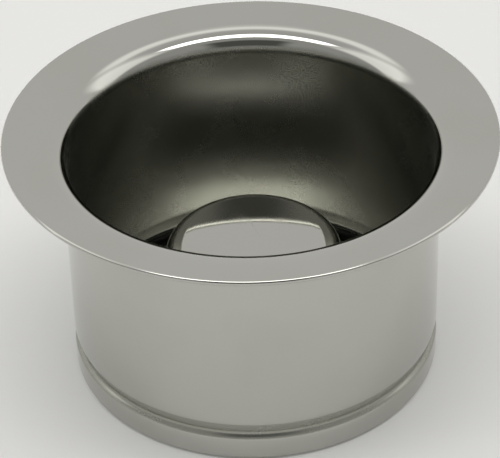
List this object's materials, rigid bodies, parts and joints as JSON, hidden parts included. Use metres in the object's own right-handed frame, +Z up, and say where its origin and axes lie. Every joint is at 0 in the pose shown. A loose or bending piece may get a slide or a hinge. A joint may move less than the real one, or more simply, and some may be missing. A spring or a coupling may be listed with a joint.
{
  "type": "sink flange with stopper",
  "caption": "Extra-deep sink flange for a kitchen waste disposer, with a lift-out stopper that seals on a rubber ring.",
  "frame": {"origin": "on the flange's axis, at the foot of the flange, which is its lowest face", "axes": "+Z up along the flange's axis, from the foot towards the rim; X and Y are arbitrary, because the flange is round"},
  "size_m": [0.1142, 0.1142, 0.0618],
  "materials": {
    "polished_nickel": "polished nickel plate, satin inside the tube",
    "black_plastic": "moulded, fine texture",
    "black_rubber": "moulded rubber",
    "brass": "turned and knurled",
    "stainless_steel": "pressed, brushed",
    "spring_steel": "plain, satin"
  },
  "bodies": {
    "flange": {"sink_flange": "polished_nickel"},
    "seal": {"seal_ring": "black_rubber"},
    "stopper": {"knob_cap": "polished_nickel", "stopper_core": "black_plastic", "threaded_insert": "brass", "retainer_plate": "stainless_steel", "flat_washer": "stainless_steel", "lock_washer": "spring_steel", "centre_screw": "stainless_steel"}
  },
  "joints": [
    {"name": "stopper_lift", "type": "slide", "parent": "flange", "child": "seal", "axis": [0, 0, 1], "range_m": [0, 0.075]},
    {"name": "stopper_turn", "type": "hinge", "parent": "seal", "child": "stopper", "pos_m": [0, 0, 0.005], "axis": [0, 0, 1], "continuous": true}
  ]
}
